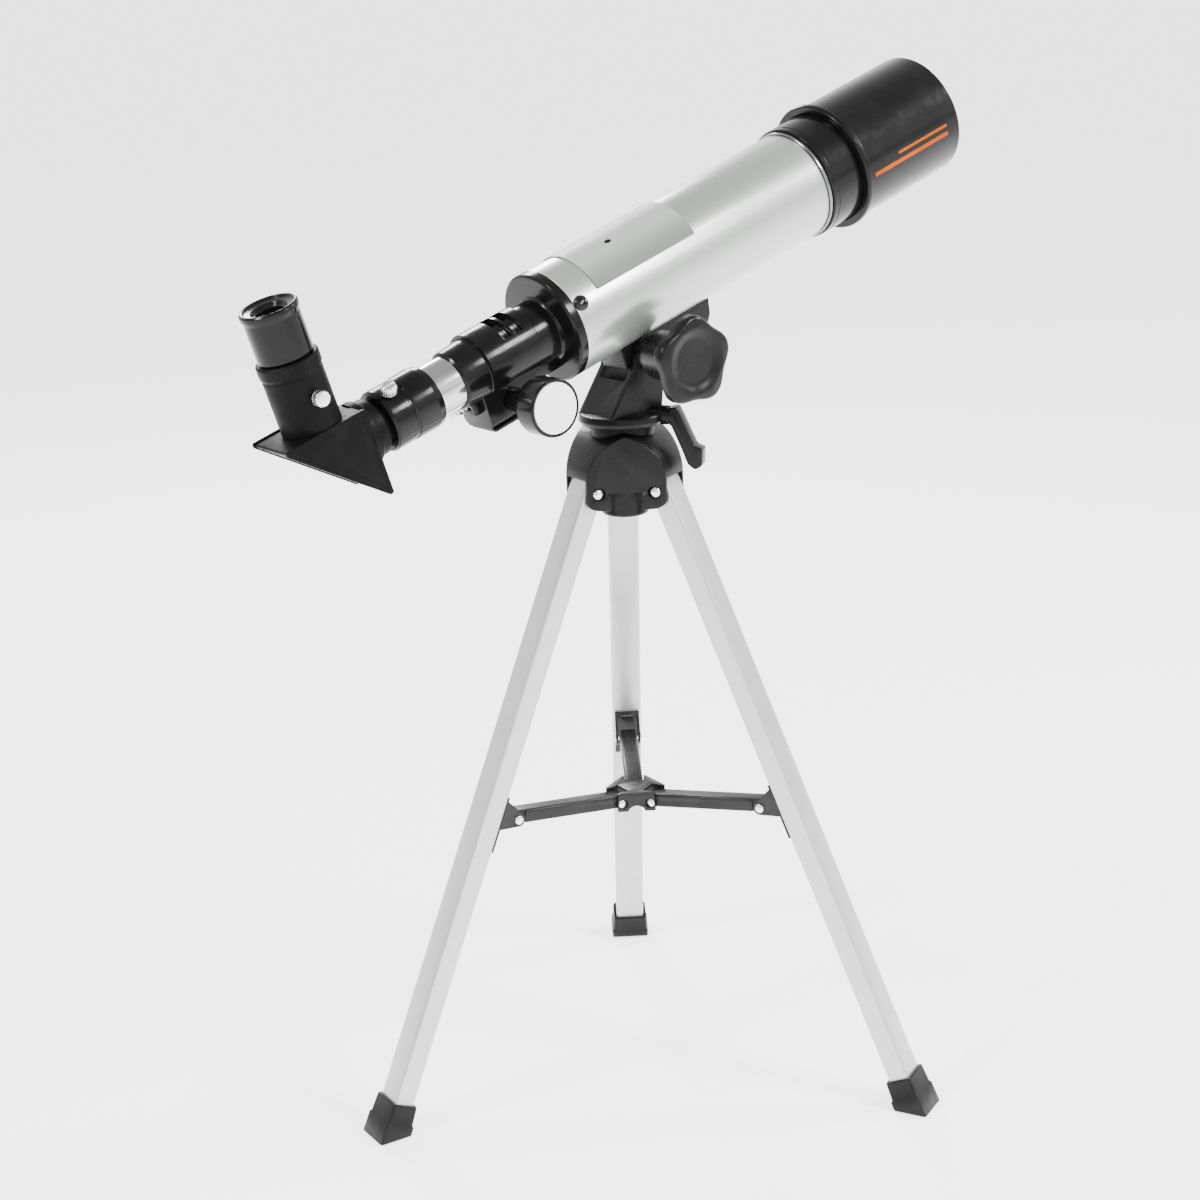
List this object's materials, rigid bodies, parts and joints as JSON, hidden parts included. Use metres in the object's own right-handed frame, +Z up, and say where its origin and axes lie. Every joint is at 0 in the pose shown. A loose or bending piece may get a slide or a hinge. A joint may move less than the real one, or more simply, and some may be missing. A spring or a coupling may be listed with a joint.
{
  "type": "table-top refracting telescope on tripod",
  "caption": "Small white refracting telescope with black dew shield, rack focuser and right-angle eyepiece, on a folding grey table-top tripod.",
  "frame": {"origin": "centre of the bounding box's underside, on the surface that the three boots stand on", "axes": "+X under the tube's heading, towards the sky end; +Z up; +Y to the left of the heading, so the altitude knob is on -Y"},
  "size_m": [0.4604, 0.3165, 0.5501],
  "materials": {
    "white_enamel": "gloss white enamel",
    "satin_grey": "satin silver-grey",
    "grey_plate": "blank printed foil, satin",
    "black_gloss": "semi-gloss moulded",
    "black_satin": "satin moulded",
    "black_enamel": "black enamel",
    "black_screw": "black oxide",
    "bright_steel": "bright plated",
    "knob_face": "satin disc",
    "chrome": "polished",
    "gear_brass": "machined",
    "boot_rubber": "matte",
    "optical_glass": "coated"
  },
  "bodies": {
    "tripod_crown": {"crown": "black_satin", "leg_pin_1": "bright_steel", "leg_pin_2": "bright_steel", "leg_pin_3": "bright_steel"},
    "leg_1": {"leg_1": "satin_grey", "leg_boot_1": "boot_rubber", "leg_bracket_1": "black_enamel", "outer_rivet_1": "bright_steel"},
    "leg_2": {"leg_2": "satin_grey", "leg_boot_2": "boot_rubber", "leg_bracket_2": "black_enamel", "outer_rivet_2": "bright_steel"},
    "leg_3": {"leg_3": "satin_grey", "leg_boot_3": "boot_rubber", "leg_bracket_3": "black_enamel", "outer_rivet_3": "bright_steel"},
    "spreader_hub": {"spreader_hub": "black_enamel", "hub_rivet_1": "bright_steel", "hub_rivet_2": "bright_steel", "hub_rivet_3": "bright_steel"},
    "spreader_arm_1": {"spreader_arm_1": "black_enamel"},
    "spreader_arm_2": {"spreader_arm_2": "black_enamel"},
    "spreader_arm_3": {"spreader_arm_3": "black_enamel"},
    "azimuth_head": {"azimuth_head": "black_satin", "azimuth_spindle": "bright_steel", "spindle_nut": "bright_steel"},
    "azimuth_lock": {"azimuth_lock": "black_satin"},
    "altitude_knob": {"altitude_knob": "black_satin", "altitude_bolt": "bright_steel"},
    "optical_tube": {"tube_bracket": "black_satin", "main_tube": "white_enamel", "label_plate": "grey_plate", "trim_ring": "bright_steel", "objective_cell": "black_gloss", "flint_lens": "optical_glass", "crown_lens": "optical_glass", "lens_retaining_ring": "black_enamel", "focuser_housing": "black_gloss", "pinion_cover": "black_enamel", "flange_screw_1": "black_screw", "flange_screw_2": "black_screw", "flange_screw_3": "black_screw"},
    "dew_shield": {"dew_shield": "black_gloss"},
    "drawtube": {"drawtube": "chrome", "drawtube_rack": "bright_steel", "drawtube_collar": "black_gloss"},
    "focus_shaft": {"pinion_shaft": "gear_brass", "focus_knob_left": "black_gloss", "focus_knob_right": "black_gloss", "focus_cap_left": "knob_face", "focus_cap_right": "knob_face"},
    "collar_thumbscrew": {"collar_thumbscrew": "bright_steel"},
    "diagonal": {"diagonal_housing": "black_gloss", "diagonal_cover": "black_gloss", "diagonal_prism": "optical_glass"},
    "eyepiece": {"eyepiece_body": "black_gloss", "eye_lens": "optical_glass", "field_lens": "optical_glass"},
    "eyepiece_thumbscrew": {"eyepiece_thumbscrew": "bright_steel"}
  },
  "joints": [
    {"name": "leg_fold_1", "type": "hinge", "parent": "tripod_crown", "child": "leg_1", "pos_m": [0.01187, 0.02867, 0.3383], "axis": [-0.807, 0.5906, 0], "range_deg": [0, 20]},
    {"name": "leg_fold_2", "type": "hinge", "parent": "tripod_crown", "child": "leg_2", "pos_m": [-0.02775, 0.0112, 0.3383], "axis": [-0.108, -0.9942, 0], "range_deg": [0, 20]},
    {"name": "leg_fold_3", "type": "hinge", "parent": "tripod_crown", "child": "leg_3", "pos_m": [0.00719, -0.01437, 0.3383], "axis": [0.915, 0.4035, 0], "range_deg": [0, 20]},
    {"name": "hub_slide", "type": "slide", "parent": "tripod_crown", "child": "spreader_hub", "axis": [0, 0, -1], "range_m": [0, 0.0695]},
    {"name": "arm_hinge_1", "type": "hinge", "parent": "spreader_hub", "child": "spreader_arm_1", "pos_m": [0.00478, 0.01899, 0.1575], "axis": [0.807, -0.5906, 0], "range_deg": [0, 81.3]},
    {"name": "arm_hinge_2", "type": "hinge", "parent": "spreader_hub", "child": "spreader_arm_2", "pos_m": [-0.01582, 0.0099, 0.1575], "axis": [0.108, 0.9942, 0], "range_deg": [0, 81.3]},
    {"name": "arm_hinge_3", "type": "hinge", "parent": "spreader_hub", "child": "spreader_arm_3", "pos_m": [0.00235, -0.00339, 0.1575], "axis": [-0.915, -0.4035, 0], "range_deg": [0, 81.3]},
    {"name": "azimuth", "type": "hinge", "parent": "tripod_crown", "child": "azimuth_head", "pos_m": [-0.0029, 0.0085, 0.372], "axis": [0, 0, 1], "continuous": true},
    {"name": "azimuth_lock_turn", "type": "hinge", "parent": "azimuth_head", "child": "azimuth_lock", "pos_m": [0.01138, -0.01079, 0.3762], "axis": [0.5948, -0.8039, 0], "range_deg": [-80, 80]},
    {"name": "altitude", "type": "hinge", "parent": "azimuth_head", "child": "optical_tube", "pos_m": [0.0051, 0.0085, 0.4105], "axis": [0, -1, 0], "range_deg": [-33, 32]},
    {"name": "altitude_knob_turn", "type": "hinge", "parent": "azimuth_head", "child": "altitude_knob", "pos_m": [0.0051, -0.0395, 0.4105], "axis": [0, -1, 0], "range_deg": [-180, 180]},
    {"name": "dew_shield_pull", "type": "slide", "parent": "optical_tube", "child": "dew_shield", "axis": [0.9521, 0, 0.3057], "range_m": [0, 0.012]},
    {"name": "focus", "type": "slide", "parent": "optical_tube", "child": "drawtube", "axis": [-0.9521, 0, -0.3057], "range_m": [-0.013, 0.05]},
    {"name": "focus_shaft_turn", "type": "hinge", "parent": "optical_tube", "child": "focus_shaft", "pos_m": [-0.0832, 0.0085, 0.39864], "axis": [0, -1, 0], "range_deg": [-171, 653]},
    {"name": "collar_thumbscrew_turn", "type": "hinge", "parent": "drawtube", "child": "collar_thumbscrew", "pos_m": [-0.15716, -0.0015, 0.41472], "axis": [-0.2647, -0.5, 0.8246], "range_deg": [-180, 180]},
    {"name": "diagonal_turn", "type": "hinge", "parent": "drawtube", "child": "diagonal", "pos_m": [-0.16472, 0.0085, 0.3941], "axis": [0.9521, 0, 0.3057], "range_deg": [-90, 90]},
    {"name": "eyepiece_pull", "type": "slide", "parent": "diagonal", "child": "eyepiece", "axis": [-0.3057, 0, 0.9521], "range_m": [0, 0.02]},
    {"name": "eyepiece_thumbscrew_turn", "type": "hinge", "parent": "diagonal", "child": "eyepiece_thumbscrew", "pos_m": [-0.20177, -0.0115, 0.41792], "axis": [0, -1, 0], "range_deg": [-180, 180]}
  ],
  "couplings": [
    {"joint": "leg_fold_2", "follows": "leg_fold_1", "ratio": 1},
    {"joint": "leg_fold_3", "follows": "leg_fold_1", "ratio": 1},
    {"joint": "hub_slide", "follows": "leg_fold_1", "m_per_rad": 0.19764},
    {"joint": "arm_hinge_1", "follows": "leg_fold_1", "ratio": 4.0497},
    {"joint": "arm_hinge_2", "follows": "leg_fold_1", "ratio": 4.0497},
    {"joint": "arm_hinge_3", "follows": "leg_fold_1", "ratio": 4.0497},
    {"joint": "focus_shaft_turn", "follows": "focus", "rad_per_m": 227.27}
  ]
}
